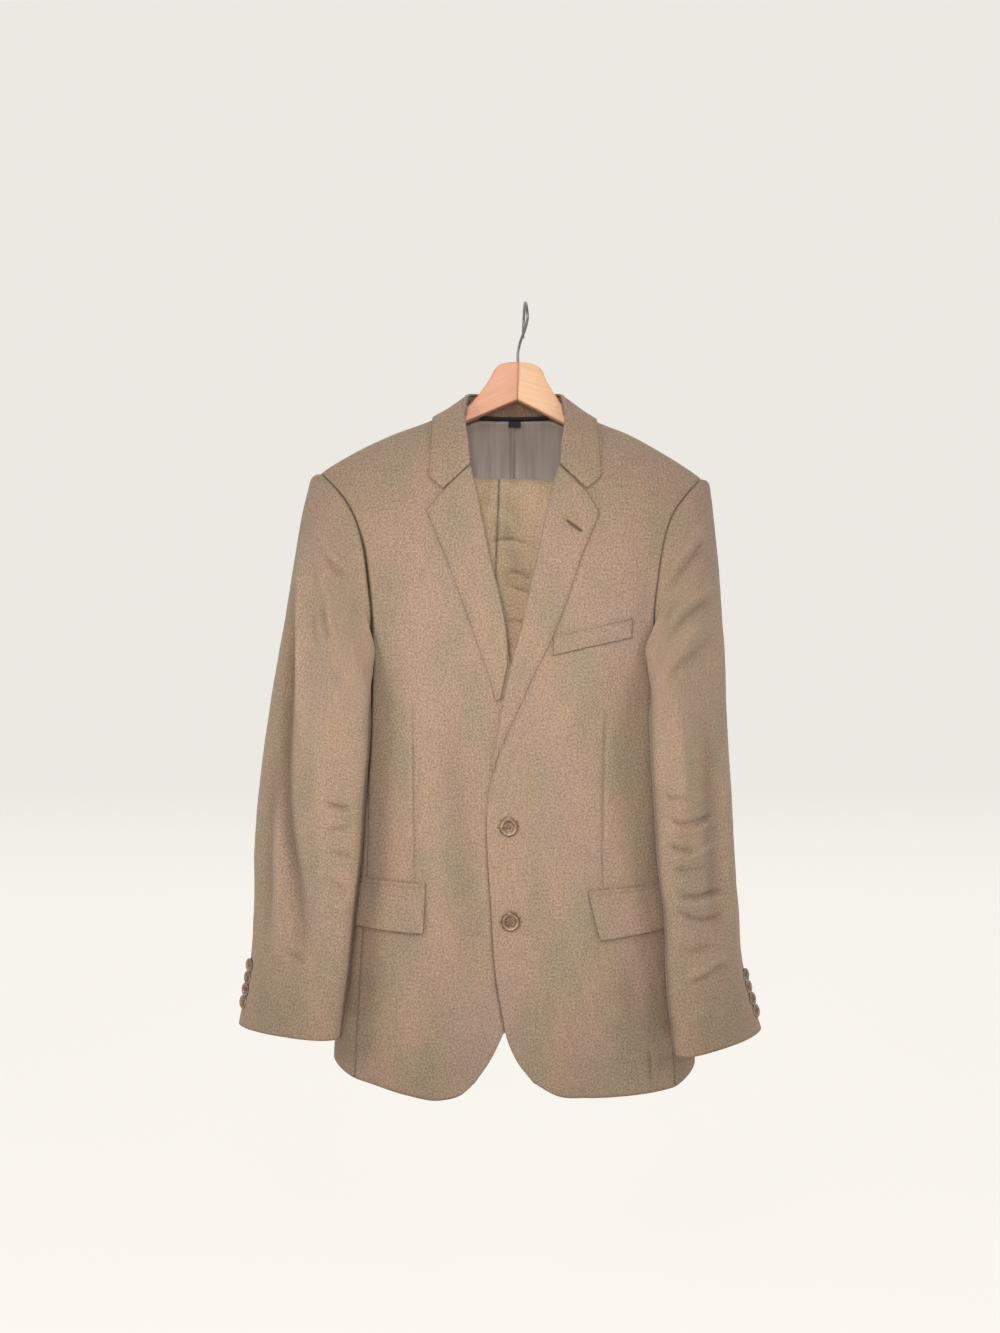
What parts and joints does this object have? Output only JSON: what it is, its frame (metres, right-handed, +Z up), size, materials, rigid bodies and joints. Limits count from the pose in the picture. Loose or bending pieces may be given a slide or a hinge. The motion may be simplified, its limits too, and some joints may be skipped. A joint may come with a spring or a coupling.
{
  "type": "suit on a hanger",
  "caption": "Two-button notch-lapel linen jacket on a flat wooden hanger, its trousers folded over the hanger's bar.",
  "frame": {"origin": "inner top of the hanger's hook loop, where the hook rests on a peg or rail", "axes": "+Z up, -Y towards the jacket's front, +X to the right as the front is seen"},
  "size_m": [0.595, 0.1334, 0.8982],
  "materials": {
    "linen": "matte twill-like linen",
    "lining": "satin",
    "trim": "matte",
    "horn": "satin brown horn",
    "wood": "satin varnish",
    "hook": "bright"
  },
  "bodies": {
    "root": {"front_left": "linen", "front_right": "linen", "side_left": "linen", "side_right": "linen", "back_left": "linen", "back_right": "linen", "top_sleeve_left": "linen", "top_sleeve_right": "linen", "under_sleeve_left": "linen", "under_sleeve_right": "linen", "lapel_left": "linen", "lapel_right": "linen", "collar_fall": "linen", "collar_stand": "linen", "chest_welt": "linen", "flap_left": "linen", "flap_right": "linen", "back_lining": "lining", "neck_piping": "trim", "neck_label": "trim", "button_upper": "horn", "button_lower": "horn", "cuff_buttons_left": "horn", "cuff_buttons_right": "horn", "trouser_leg_inner": "linen", "trouser_front": "linen", "trouser_back": "linen", "waistband": "linen", "hanger": "wood", "hanger_hook": "hook"}
  },
  "joints": []
}
